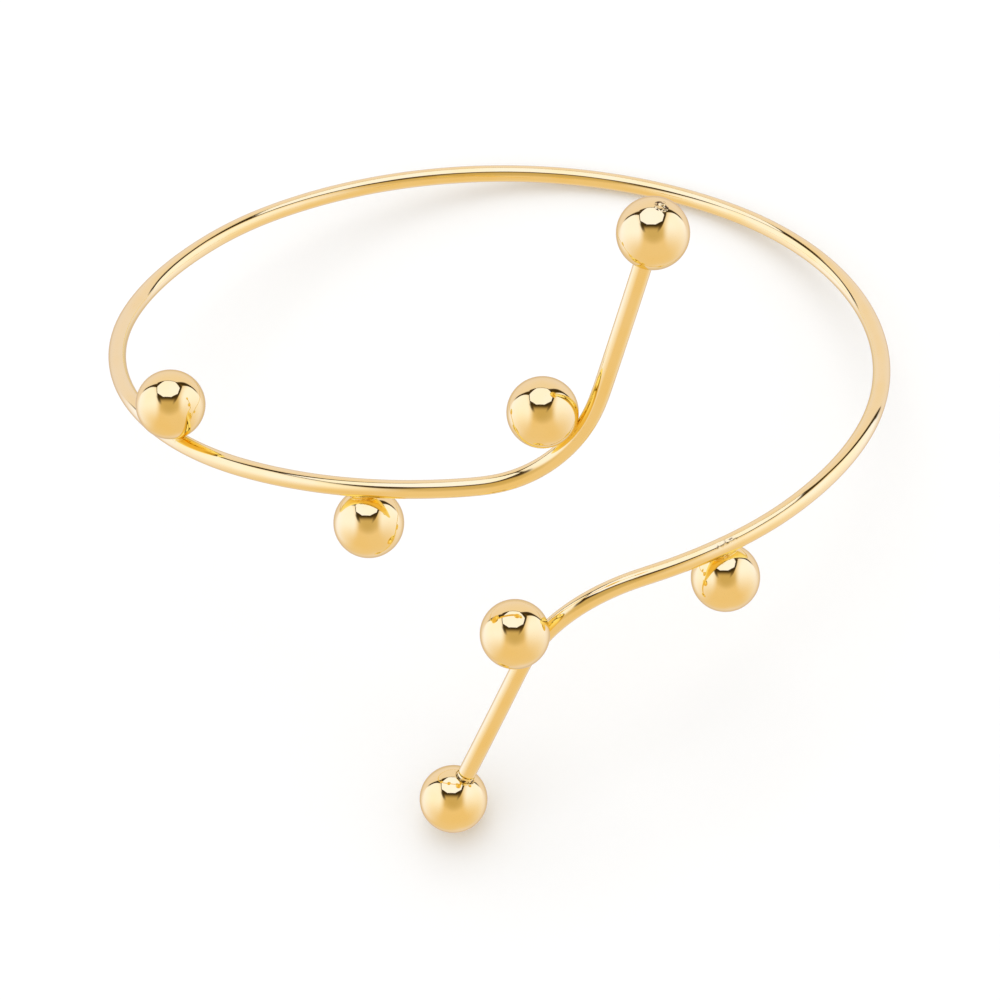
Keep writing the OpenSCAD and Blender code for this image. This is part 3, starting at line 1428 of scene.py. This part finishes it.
@dataclass(kw_only=True)
class SolderFillet(Piece):
    """The solder that holds a side ball: a hollow-cheeked saddle drawn into the gap between ball and wire.

    Attributes:
        ball: Where the side ball is soldered.
        seed: Sets its unevenness apart from the others'.
        sides: Points in a ring.
        steps: Steps from the wire up to the ball.
        wetted_gap: The widest gap that it fills.
        widest: Further out than it ever reaches.
        rounds: How often to halve in looking for its reach.
        waist: How wide it is half way up, in reaches.
        spread: How wide it is at the wire and at the ball.
        flare: How suddenly it spreads there.
        uneven: How uneven its reach is.
        lobes: About how many times that comes and goes.
        sunk: How far its edges go into the wire and the ball.
    """

    ball: SideBall
    seed: float
    slot: str = "plated_band"
    replaced: tuple[str, ...] = ("wire_band",)
    sides: int = 72
    steps: int = 14
    wetted_gap: float = 0.24 * MM
    widest: float = 2.4 * MM
    rounds: int = 30
    waist: float = 0.80
    spread: float = 1.22
    flare: float = 2.2
    uneven: float = 0.10
    lobes: float = 1.7
    sunk: float = 0.02 * MM

    def _wire_height(self, y: float) -> float:
        """Height of the wire's surface over its middle, at a distance y beside it."""
        return math.sqrt(max(self.drawing.wire_r ** 2 - y ** 2, 0.0))

    def _ball_height(self, r: float) -> float:
        """Height of the ball's underside over the wire's middle."""
        return self.drawing.seat - math.sqrt(self.drawing.ball_r ** 2 - r ** 2)

    def _reach(self, turn: float) -> float:
        """How far the solder was drawn out: to where the gap is too wide to fill.

        Args:
            turn: In which direction, from the way along the wire.

        Returns:
            The distance from the middle of the seat.
        """

        def filled(r: float) -> bool:
            """Whether the gap at this distance from the seat is narrow enough."""
            return self._ball_height(r) - self._wire_height(r * math.sin(turn)) < self.wetted_gap

        return last_where(filled, self.widest, self.rounds)

    def skin(self) -> Skin:
        """Draws the saddle from the wire up to the ball, all round the seat."""
        d = self.drawing
        f = d.seat_frame(self.ball)
        stand = pointed(d.at_rest @ f.middle, d.rested(d.seat_way(self.ball)), d.rested(f.along))
        skin = Skin()
        rings: list[list[Vector]] = [[] for _ in range(self.steps + 3)]
        for turn in turns(self.sides):
            wander = noise.noise(self.lobes * about_z(1.0, turn, self.seed))
            reach = self._reach(turn) * (1.0 + self.uneven * wander)
            for i in range(-1, self.steps + 2):
                t = min(max(i / self.steps, 0.0), 1.0)
                bend = abs(2 * t - 1) ** self.flare
                r = reach * (self.waist + (self.spread - self.waist) * bend)
                low = self._wire_height(r * math.sin(turn))
                high = self._ball_height(r)
                sink = self.sunk * ((i < 0) - (i > self.steps))
                z = low + (high - low) * float(smooth_step(t)) - sink
                rings[i + 1].append(stand @ about_z(r, turn, z))
        numbered = [skin.add_ring(ring, i / self.steps, 1.0) for i, ring in enumerate(rings)]
        for a, b in zip(numbered, numbered[1:]):
            skin.bridge(a, b)
        return skin


@dataclass(kw_only=True)
class SolderCollar(Piece):
    """The fine ridges of solder that close the mouth of an end ball round the wire.

    Attributes:
        run: The run of wire whose end ball it closes.
        proud: How far the first ridge stands out of the mouth.
        sides: Points round the wire.
        steps: Points round a ridge.
        thick: Half a ridge's thickness.
        uneven: How uneven that is.
        wander: How far a ridge strays along the wire, in thicknesses.
        wander_scale: How much closer that comes and goes.
        clear: How far the ridges' middle stands off the wire, in thicknesses.
        ridges: How many there are.
        ridge_pitch: Distance from one to the next.
        seeds: The first ridge's seed, and what each next one adds.
    """

    run: Run
    proud: float
    slot: str = "plated_band"
    sides: int = 96
    steps: int = 14
    thick: float = 0.032 * MM
    uneven: float = 0.35
    wander: float = 0.6
    wander_scale: float = 1.4
    clear: float = 0.75
    ridges: int = 3
    ridge_pitch: float = 0.08 * MM
    seeds: tuple[float, float] = (5.0, 9.0)

    def _ridge(self, skin: Skin, stand: Matrix, height: float, seed: float) -> None:
        """Bends one thin uneven ring round the wire.

        Args:
            skin: The mesh that it is added to.
            stand: The ball's place, its z axis along the wire.
            height: How far from the ball's middle it lies.
            seed: Sets its unevenness apart from the others'.
        """
        rings = []
        for k, turn in enumerate(turns(self.sides)):
            spot = about_z(2.0, turn, seed)
            thick = self.thick * (1.0 + self.uneven * noise.noise(spot))
            lift = height + self.thick * self.wander * noise.noise(self.wander_scale * spot)
            clear = self.drawing.wire_r + self.thick * self.clear
            ring = [about_z(clear + thick * math.cos(a), turn, lift + thick * math.sin(a))
                    for a in turns(self.steps)]
            rings.append(skin.add_ring([stand @ p for p in ring], k / self.sides, 1.0))
        for a, b in zip(rings, rings[1:] + rings[:1]):
            skin.bridge(b, a)

    def skin(self) -> Skin:
        """Lays the ridges one after the other, from the mouth up the wire."""
        d = self.drawing
        stand = pointed(d.at_rest @ d.ball_middle(self.run), d.rested(d.shaft_way(self.run)))
        mouth = math.sqrt(d.ball_r ** 2 - (d.wire_r + self.thick) ** 2) + self.proud
        skin = Skin()
        for i in range(self.ridges):
            self._ridge(skin, stand, mouth + i * self.ridge_pitch, self.seeds[0] + self.seeds[1] * i)
        return skin


@dataclass(kw_only=True)
class SolderPlug(Piece):
    """The rough little plug in the far side of the upper end ball, where the drill came through.

    Attributes:
        sides: Points in a ring.
        rings: Rings from its middle to its rim.
        plug_r: Its radius.
        ragged: How ragged its rim is.
        ragged_scale: How often that comes and goes.
        ragged_seed: Sets that apart from the other unevenness.
        dome: How far it bulges.
        rough: Height of its lumps.
        lump: Their size.
        fine: How high the finer lumps are beside them.
        fine_scale: How much smaller those are.
        sunk: How far its rim lies in the ball.
        askew: How it sits off the wire's line through the ball.
    """

    name: str = "upper_plug"
    slot: str = "plated_ball"
    replaced: tuple[str, ...] = ("upper_end_ball",)
    sides: int = 80
    rings: int = 24
    plug_r: float = 0.82 * MM
    ragged: float = 0.22
    ragged_scale: float = 1.3
    ragged_seed: float = 2.0
    dome: float = 0.06 * MM
    rough: float = 0.24 * MM
    lump: float = 0.62 * MM
    fine: float = 0.2
    fine_scale: float = 2.3
    sunk: float = 0.01 * MM
    askew: tuple[float, float, float] = (-0.055, -0.23, -0.01)

    def _heaped(self, x: float, y: float) -> Vector:
        """A point of the plug's top, with the ball's middle at the origin.

        Args:
            x: How far it is to one side of the plug's middle.
            y: How far it is to the other.

        Returns:
            The point.
        """
        share = math.hypot(x, y) / self.plug_r
        crown = self.dome * (1 - share ** 4)
        spot = Vector((x, y, 0.0)) / self.lump
        lumps = noise.noise(spot) + self.fine * noise.noise(self.fine_scale * spot)
        ball = math.sqrt(self.drawing.ball_r ** 2 - x * x - y * y)
        return Vector((x, y, ball + crown + self.rough * lumps * (1 - share ** 3) - self.sunk * share))

    def skin(self) -> Skin:
        """Heaps the plug on the ball's far pole and sinks its rim."""
        d = self.drawing
        way = Vector(self.askew) - d.shaft_way(Run.UPPER)
        stand = pointed(d.at_rest @ d.ball_middle(Run.UPPER), d.rested(way))
        skin = Skin()
        middle = skin.add_point(stand @ self._heaped(0.0, 0.0), solder=1.0)
        before: list[int] = []
        for i in range(1, self.rings + 1):
            ring = []
            for turn in turns(self.sides):
                wander = 1 + self.ragged * noise.noise(about_z(self.ragged_scale, turn, self.ragged_seed))
                r = self.plug_r * wander * i / self.rings
                ring.append(stand @ self._heaped(r * math.cos(turn), r * math.sin(turn)))
            now = skin.add_ring(ring, i / self.rings, 1.0)
            if before:
                skin.bridge(before, now)
            else:
                skin.cap(now, middle)
            before = now
        return skin


# The studio


@dataclass(frozen=True)
class ProductCamera:
    """The camera that looks down at the cuff's front, placed round the arm and carried to the resting cuff.

    Attributes:
        drawing: The cuff's drawing.
        elevation: How steeply it looks down at the cuff.
        distance: How far it is from the middle of the oval.
        roll: How far it is turned about its own axis.
        picture: Width of the picture, in pixels.
        focal: How far the picture lies behind the lens, in pixels.
        ring_at: Where in the picture the middle of the oval is.
        sensor: Width of the film, in mm.
        nearest: How close a thing may be and still be seen.
    """

    drawing: CuffDrawing
    elevation: float = math.radians(35.37)
    distance: float = 514.12 * MM
    roll: float = math.radians(-0.35)
    picture: float = 1000.0
    focal: float = 4500.0
    ring_at: tuple[float, float] = (500.85, 360.0)
    sensor: float = 36.0
    nearest: float = 20 * MM

    @cached_property
    def pose(self) -> Matrix:
        """The camera's place: its x to the right of the picture, y up and z towards the camera."""
        right = Vector((1.0, 0.0, 0.0))
        back = Vector((0.0, -math.cos(self.elevation), math.sin(self.elevation)))
        up = back.cross(right)
        place = back * self.distance
        pitch = math.atan((self.ring_at[1] - self.picture / 2) / self.focal)
        yaw = math.atan((self.ring_at[0] - self.picture / 2) / self.focal)
        nod = Matrix.Rotation(pitch, 3, right)
        up, back = nod @ up, nod @ back
        swing = Matrix.Rotation(yaw, 3, up)
        right, back = swing @ right, swing @ back
        spin = Matrix.Rotation(self.roll, 3, back)
        right, up = spin @ right, spin @ up
        turn = Matrix((right, up, back)).transposed().to_4x4()
        return self.drawing.at_rest @ Matrix.Translation(place) @ turn

    def build(self) -> bpy.types.Object:
        """Makes the camera and looks through it."""
        data = bpy.data.cameras.new("product_camera")
        data.sensor_width = self.sensor
        data.sensor_fit = "HORIZONTAL"
        data.lens = self.sensor * self.focal / self.picture
        data.clip_start = self.nearest
        camera = bpy.data.objects.new("product_camera", data)
        camera.matrix_world = self.pose
        bpy.context.scene.collection.objects.link(camera)
        bpy.context.scene.camera = camera
        return camera


@dataclass(frozen=True)
class Softbox:
    """The eight-sided softbox over the cuff, before the square black back of its frame.

    Attributes:
        above: How far its middle stands above the view.
        aside: How far its middle stands to the right of the view.
        half_w: Half its width, for a softbox at a distance of 1 m.
        half_h: Half its height, leaning as it does.
        frame_half: Half the frame's width.
        frame_aside: How far the frame stands to the right of the softbox.
        frame_top: The frame's top edge over the softbox's middle.
        frame_drop: The frame's bottom edge under it.
        frame_soft: Blur of that bottom edge.
        frame_blur: Blur of its upright edges, in blurs of a sharp edge.
        frame_glow: Between these reaches, for a softbox of half size 1, the frame turns from black to dusk.
        rim: Width of the black rim that shows all round it, for a softbox of half size 1.
        light: Light of the softbox.
        frame: Light of its black frame.
        dusk: Light of the frame away from the softbox.
        post_at: How far aside the two posts stand.
        post_half: Half the width of the left post and of the right one.
        post_ends: How far under the softbox's middle the posts are gone, and where they begin to fade.
        post_dark: How dark each is, from 0 to 1.
        post_core: The share of a post's width that isn't blurred.
        post_top: How far under the middle the posts begin, in half heights.
        post_parting: Half the strip about the middle in which left turns into right.
        faced: How squarely a direction has to look that way to see it all.
    """

    above: float = math.radians(53.2)
    aside: float = math.radians(-7.8)
    half_w: float = 0.63
    half_h: float = 0.56
    frame_half: float = 0.73
    frame_aside: float = 0.05
    frame_top: float = 0.59
    frame_drop: float = 0.90
    frame_soft: float = 0.28
    frame_blur: float = 3.0
    frame_glow: tuple[float, float] = (1.20, 1.75)
    rim: float = 0.06
    light: Colour = (1.06, 1.15, 3.05)
    frame: Colour = (0.05, 0.034, 0.024)
    dusk: Colour = (0.25, 0.16, 0.10)
    post_at: float = 0.63
    post_half: tuple[float, float] = (0.20, 0.14)
    post_ends: tuple[float, float] = (1.60, 0.75)
    post_dark: tuple[float, float] = (0.85, 0.55)
    post_core: float = 0.3
    post_top: float = 0.45
    post_parting: float = 0.1
    faced: float = 0.02


@dataclass(frozen=True)
class SideCards:
    """The tall white cards left and right of the camera, which end in a dark gap before the ceiling.

    Attributes:
        light: Light of the cards.
        left_fade: Heights between which the left card fades in, upwards.
        right_fade: The same of the right card.
        inner: Distances aside between which they begin.
        left_edge: The side of the left card's far edge that faces the ceiling.
        right_edge: The same of the right card.
        gap: Width of the dark gap along the far edges, by the softbox and at its narrow end.
        gap_narrows: Distances aside between which it narrows.
        gap_fade: Heights between which the gap closes.
        gap_core: The share of the gap that isn't blurred.
        parting: Half the strip about the middle in which left turns into right.
    """

    light: Colour = (1.05, 1.13, 2.80)
    left_fade: tuple[float, float] = (-1.02, 0.10)
    right_fade: tuple[float, float] = (-0.95, 0.48)
    inner: tuple[float, float] = (0.44, 0.76)
    left_edge: tuple[float, float, float] = (0.56, 0.55, -0.62)
    right_edge: tuple[float, float, float] = (-0.56, 0.40, -0.725)
    gap: tuple[float, float] = (0.155, 0.05)
    gap_narrows: tuple[float, float] = (0.48, 0.80)
    gap_fade: tuple[float, float] = (0.30, 0.52)
    gap_core: float = 0.6
    parting: float = 0.2


@dataclass(frozen=True)
class RoomLight:
    """The rest of the studio.

    Attributes:
        ceiling: Light of the ceiling.
        far: Light of the far wall.
        far_spread: Between these reaches away from the camera the ceiling turns into it.
        sweep: Light of the lit sweep below.
        camera: Light of the dim place round the camera.
        camera_spread: Between these reaches towards the camera that sets in.
        sharp: Blur of a sharp edge.
        soft: Blur of the cards' far edges low down.
        sharpens: Between these heights those edges turn sharp.
    """

    ceiling: Colour = (0.89, 0.81, 1.53)
    far: Colour = (0.75, 0.64, 0.80)
    far_spread: tuple[float, float] = (-0.70, -0.95)
    sweep: Colour = (0.86, 0.69, 0.84)
    camera: Colour = (0.62, 0.475, 0.43)
    camera_spread: tuple[float, float] = (0.70, 0.995)
    sharp: float = 0.014
    soft: float = 0.30
    sharpens: tuple[float, float] = (-0.1, 0.4)


@dataclass
class Studio:
    """The pale floor, the soft light over it, and what the polished metal mirrors.

    Attributes:
        camera: The camera, by whose ways the studio is laid out.
        softbox: The softbox over the cuff.
        cards: The cards beside the camera.
        room: The rest of the room.
        floor_half: Half the floor's width.
        floor_cells: Faces along each of its sides.
        room_strength: Plain white light on the floor and behind it.
        key_watts: Power of the light overhead.
        key_size: Its width.
        key_height: How far away it hangs.
        right: The camera's way right.
        up: The camera's way up.
        back: The way back to the camera.
    """

    camera: ProductCamera
    softbox: Softbox
    cards: SideCards
    room: RoomLight
    floor_half: float = 1.6
    floor_cells: int = 8
    room_strength: float = 1.26
    key_watts: float = 1.3
    key_size: float = 0.7
    key_height: float = 0.9
    right: Vector = field(init=False)
    up: Vector = field(init=False)
    back: Vector = field(init=False)

    def __post_init__(self) -> None:
        """Takes the camera's ways."""
        turn = self.camera.pose.to_3x3()
        self.right, self.up, self.back = (turn @ Vector(v) for v in ((1, 0, 0), (0, 1, 0), (0, 0, 1)))

    def build(self) -> None:
        """Lays the floor, hangs the light and draws the studio round the cuff."""
        self._lay_floor()
        self._hang_key()
        self._draw_surroundings()

    def _seen(self, x: float, y: float, z: float) -> Vector:
        """A direction of the studio from its parts to the camera's right, up and back."""
        return unit(x * self.right + y * self.up + z * self.back)

    @property
    def softbox_way(self) -> Vector:
        """The way to the middle of the softbox."""
        level = math.cos(self.softbox.above)
        return self._seen(level * math.sin(self.softbox.aside), math.sin(self.softbox.above),
                          level * math.cos(self.softbox.aside))

    def _lay_floor(self) -> None:
        """A plain pale floor, which the metal doesn't mirror."""
        skin = Skin()
        half, cells = self.floor_half, self.floor_cells
        for i in range(cells + 1):
            for j in range(cells + 1):
                skin.add_point(Vector((half * (2 * i / cells - 1), half * (2 * j / cells - 1), 0.0)))
        row = cells + 1
        skin.faces = [(i * row + j, (i + 1) * row + j, (i + 1) * row + j + 1, i * row + j + 1)
                      for i in range(cells) for j in range(cells)]
        floor = skin.made("floor")
        floor.data.materials.append(PaperFloor().made())
        floor.visible_glossy = False

    def _hang_key(self) -> None:
        """A soft square light overhead, for the faint shadow on the floor."""
        data = bpy.data.lights.new("overhead_key", "AREA")
        data.shape = "SQUARE"
        data.size = self.key_size
        data.energy = self.key_watts
        light = bpy.data.objects.new("overhead_key", data)
        light.matrix_world = pointed(self.softbox_way * self.key_height, self.softbox_way)
        light.visible_glossy = False
        bpy.context.scene.collection.objects.link(light)

    def _draw_surroundings(self) -> None:
        """The studio as the metal mirrors it, and plain white for the floor and the camera."""
        world = bpy.data.worlds.new("white_studio")
        bpy.context.scene.world = world
        world.use_nodes = True
        sheet = NodeSheet(world.node_tree)
        way = sheet.add("ShaderNodeTexCoord").outputs["Generated"]
        glow = self._mirrored_room(sheet, way)
        glow = self._mirrored_softbox(sheet, glow, way)

        mirror = sheet.add("ShaderNodeBackground")
        sheet.feed(mirror.inputs["Color"], glow)
        plain = sheet.add("ShaderNodeBackground")
        plain.inputs["Strength"].default_value = self.room_strength
        chooser = sheet.add("ShaderNodeMixShader")
        sheet.feed(chooser.inputs[0], sheet.add("ShaderNodeLightPath").outputs["Is Glossy Ray"])
        sheet.feed(chooser.inputs[1], plain.outputs[0])
        sheet.feed(chooser.inputs[2], mirror.outputs[0])
        sheet.feed(sheet.add("ShaderNodeOutputWorld").inputs["Surface"], chooser.outputs[0])

    def _mirrored_room(self, sheet: NodeSheet, way: object) -> bpy.types.NodeSocket:
        """The sweep, the camera's dim place, the cards, the ceiling beyond them and the gap between.

        Args:
            sheet: Where the nodes go.
            way: The direction looked in.

        Returns:
            The light seen that way.
        """
        room, cards = self.room, self.cards
        rightward = sheet.dot(way, self.right)
        aside = sheet.math("ABSOLUTE", rightward)
        height, nearness = sheet.dot(way, self.up), sheet.dot(way, self.back)
        past_edges = (sheet.dot(way, self._seen(*edge)) for edge in (cards.left_edge, cards.right_edge))
        past = sheet.math("MINIMUM", *past_edges)

        glow = sheet.mixed(sheet.eased(nearness, *room.camera_spread), room.sweep, room.camera)
        fade = [sheet.eased(rightward, -cards.parting, cards.parting, left, right)
                for left, right in zip(cards.left_fade, cards.right_fade)]
        lit = sheet.product(sheet.eased(height, *fade), sheet.eased(aside, *cards.inner))
        glow = sheet.mixed(lit, glow, cards.light)
        blur = sheet.eased(height, *room.sharpens, room.soft, room.sharp)
        beyond = sheet.eased(past, sheet.product(blur, -1.0), blur)
        ceiling = sheet.mixed(sheet.eased(nearness, *room.far_spread), room.ceiling, room.far)
        glow = sheet.mixed(beyond, glow, ceiling)
        gap = sheet.eased(aside, *cards.gap_narrows, *cards.gap)
        line = sheet.eased(sheet.math("ABSOLUTE", past), gap, sheet.product(gap, cards.gap_core))
        dark = sheet.product(line, sheet.eased(height, *cards.gap_fade))
        return sheet.mixed(dark, glow, self.softbox.frame)

    def _mirrored_softbox(self, sheet: NodeSheet, glow: object, way: object) -> bpy.types.NodeSocket:
        """The eight-sided softbox before its square black frame.

        Args:
            sheet: Where the nodes go.
            glow: The light of the rest of the room.
            way: The direction looked in.

        Returns:
            The light seen that way.
        """
        box, sharp = self.softbox, self.room.sharp
        ahead = self.softbox_way
        across = unit(self.up.cross(ahead))
        upward = ahead.cross(across)
        depth = sheet.dot(way, ahead)
        px = sheet.math("DIVIDE", sheet.dot(way, across), depth)
        py = sheet.math("DIVIDE", sheet.dot(way, upward), depth)
        faced = sheet.eased(depth, 0.0, box.faced)

        from_middle = sheet.math("ABSOLUTE", sheet.math("SUBTRACT", px, box.frame_aside))
        blur = box.frame_blur * sharp
        wide = sheet.eased(from_middle, box.frame_half + blur, box.frame_half - blur)
        low = sheet.eased(py, -box.frame_drop - box.frame_soft, -box.frame_drop + box.frame_soft)
        high = sheet.eased(py, box.frame_top + sharp, box.frame_top - sharp)
        framed = sheet.product(wide, low, high, faced)
        qx = sheet.math("DIVIDE", sheet.math("ABSOLUTE", px), box.half_w)
        qy = sheet.math("DIVIDE", sheet.math("ABSOLUTE", py), box.half_h)
        corner = sheet.product(sheet.math("ADD", qx, qy), math.sqrt(0.5))
        reach = sheet.math("MAXIMUM", sheet.math("MAXIMUM", qx, qy), corner)
        black = sheet.mixed(sheet.eased(reach, *box.frame_glow), box.frame, box.dusk)
        glow = sheet.mixed(framed, glow, black)
        glow = sheet.mixed(self._posts(sheet, px, py, faced), glow, box.frame)
        rim_edge, rim_blur = 1 + box.rim, box.rim / 2
        rim = sheet.product(sheet.eased(reach, rim_edge + rim_blur, rim_edge - rim_blur), faced)
        glow = sheet.mixed(rim, glow, box.frame)
        lit = sheet.eased(reach, 1 + sharp, 1 - sharp)
        return sheet.mixed(sheet.product(lit, faced), glow, box.light)

    def _posts(self, sheet: NodeSheet, px: object, py: object, faced: object) -> bpy.types.NodeSocket:
        """How much the two dim posts that hold the softbox's frame show.

        Args:
            sheet: Where the nodes go.
            px: Distance aside from the softbox's middle.
            py: Height over the softbox's middle.
            faced: 1 on the softbox's side of the studio.

        Returns:
            Their share, from 0 to 1.
        """
        box = self.softbox
        line = sheet.math("SUBTRACT", sheet.math("ABSOLUTE", px), box.post_at)
        half = sheet.eased(px, -box.post_parting, box.post_parting, *box.post_half)
        dark = sheet.eased(px, -box.post_parting, box.post_parting, *box.post_dark)
        post = sheet.eased(sheet.math("ABSOLUTE", line), half, sheet.product(half, box.post_core))
        under = sheet.eased(py, -box.post_top * box.half_h, -box.half_h)
        down = sheet.eased(py, -box.post_ends[0], -box.post_ends[1])
        return sheet.product(post, dark, faced, under, down)


def main() -> None:
    """Builds the cuff, piece by piece, and the studio round it."""
    logging.basicConfig(level=logging.INFO, format="%(message)s")
    bpy.context.scene.view_settings.view_transform = "Standard"
    drawing = CuffDrawing()
    camera = ProductCamera(drawing)
    camera.build()

    burnt = (0.10, 0.06, 0.018)
    wire_plate = GoldPlate("drawn_gold_plate", Grain.DRAWN, scorched=burnt, painted_sheen_share=0.8,
                           relief=0.0005 * MM).made()
    ball_plate = GoldPlate("buffed_gold_plate", Grain.BUFFED, gloss=0.03, haze=0.035).made()
    solder_plate = GoldPlate("plated_solder", Grain.MOLTEN, gloss=0.10, haze=0.10).made()
    burnt_plate = GoldPlate("burnt_solder", Grain.MOLTEN, scorched=burnt, gloss=0.05, haze=0.06,
                            stains=Mottle(0.35 * MM, detail=3.0, rough=0.6, between=(0.44, 0.58))).made()

    CuffWire(drawing=drawing, path=WirePath(drawing)).build(wire_plate)
    for number, ball in enumerate(drawing.side_balls, start=1):
        SolderedBall(name=f"side_ball_{number}", drawing=drawing, ball=ball).build(ball_plate)
        SolderFillet(name=f"solder_{number}", drawing=drawing, ball=ball,
                     seed=11.0 * number).build(solder_plate)
    for run, proud in ((Run.UPPER, -0.14 * MM), (Run.LOWER, 0.01 * MM)):
        shell = (f"{run.value}_end_ball",)
        EndBall(name=f"{run.value}_ball", drawing=drawing, run=run, replaced=shell).build(ball_plate)
        SolderCollar(name=f"{run.value}_collar", drawing=drawing, run=run, proud=proud,
                     replaced=shell).build(burnt_plate)
    SolderPlug(drawing=drawing).build(burnt_plate)

    Studio(camera, Softbox(), SideCards(), RoomLight()).build()


if __name__ == "__main__":
    main()
